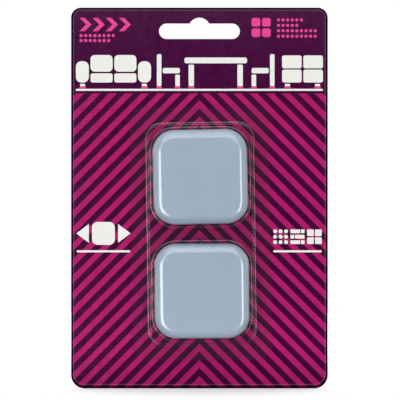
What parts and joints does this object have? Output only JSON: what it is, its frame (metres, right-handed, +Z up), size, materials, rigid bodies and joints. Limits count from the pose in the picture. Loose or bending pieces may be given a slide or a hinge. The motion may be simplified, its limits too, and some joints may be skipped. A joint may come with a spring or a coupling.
{
  "type": "furniture slider pack",
  "caption": "Square self-adhesive furniture sliders with rounded glide caps and cushion pads, stacked in a clear blister on a printed hang card.",
  "frame": {"origin": "middle of the hang slot, on the card's back face", "axes": "+Z up the hanging card, +X to the right as the front is seen, -Y out of the printed front"},
  "size_m": [0.123, 0.0141, 0.1825],
  "materials": {
    "printed_card": "printed, semi-gloss",
    "clear_sheet": "clear, glossy",
    "glide_polymer": "satin",
    "cushion_rubber": "matt",
    "adhesive_layer": "translucent",
    "liner_paper": "matt"
  },
  "bodies": {
    "root": {"backing_card": "printed_card", "blister_shell": "clear_sheet", "upper_front_glide_cap": "glide_polymer", "upper_front_cushion": "cushion_rubber", "upper_front_adhesive": "adhesive_layer", "upper_front_liner": "liner_paper", "upper_rear_glide_cap": "glide_polymer", "upper_rear_cushion": "cushion_rubber", "upper_rear_adhesive": "adhesive_layer", "upper_rear_liner": "liner_paper", "lower_front_glide_cap": "glide_polymer", "lower_front_cushion": "cushion_rubber", "lower_front_adhesive": "adhesive_layer", "lower_front_liner": "liner_paper", "lower_rear_glide_cap": "glide_polymer", "lower_rear_cushion": "cushion_rubber", "lower_rear_adhesive": "adhesive_layer", "lower_rear_liner": "liner_paper"}
  },
  "joints": []
}
